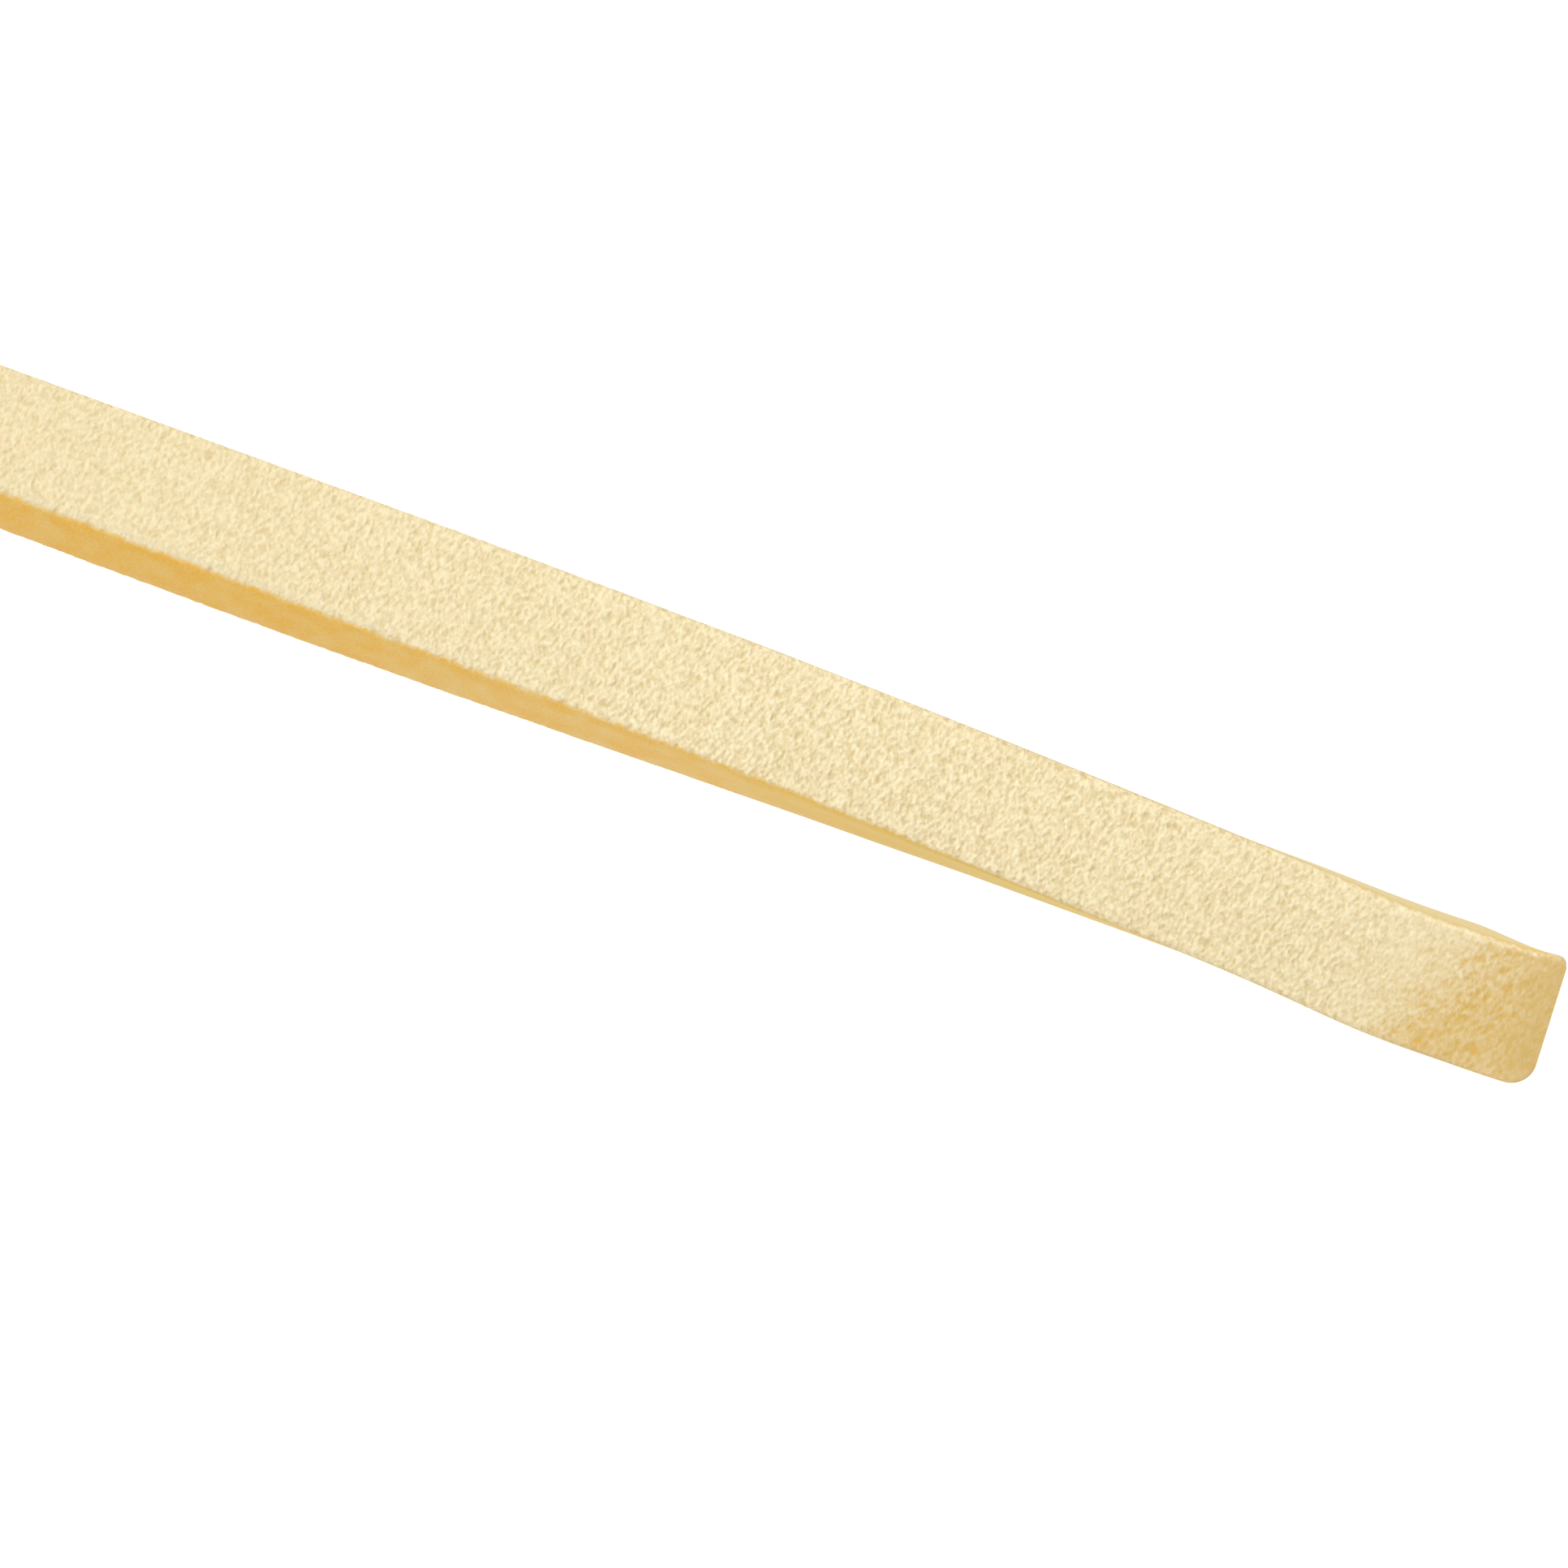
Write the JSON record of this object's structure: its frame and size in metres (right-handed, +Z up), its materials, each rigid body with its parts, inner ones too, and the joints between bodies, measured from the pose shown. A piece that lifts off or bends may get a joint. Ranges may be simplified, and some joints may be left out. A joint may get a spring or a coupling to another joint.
{
  "type": "flat dry pasta strand",
  "caption": "Single flat strand of dry pasta with rounded square-cut ends and a gentle twist, lying flat on its broad side.",
  "frame": {"origin": "bottom centre of the strand's box, on the surface it lies on", "axes": "+X along the strand towards the more twisted end, +Y across its width, +Z up off the surface"},
  "size_m": [0.25, 0.0046, 0.0044],
  "materials": {
    "dried_dough": "dried durum wheat dough: pale floury rough faces, smooth amber cut sides and ends"
  },
  "bodies": {
    "root": {"strand": "dried_dough"}
  },
  "joints": []
}
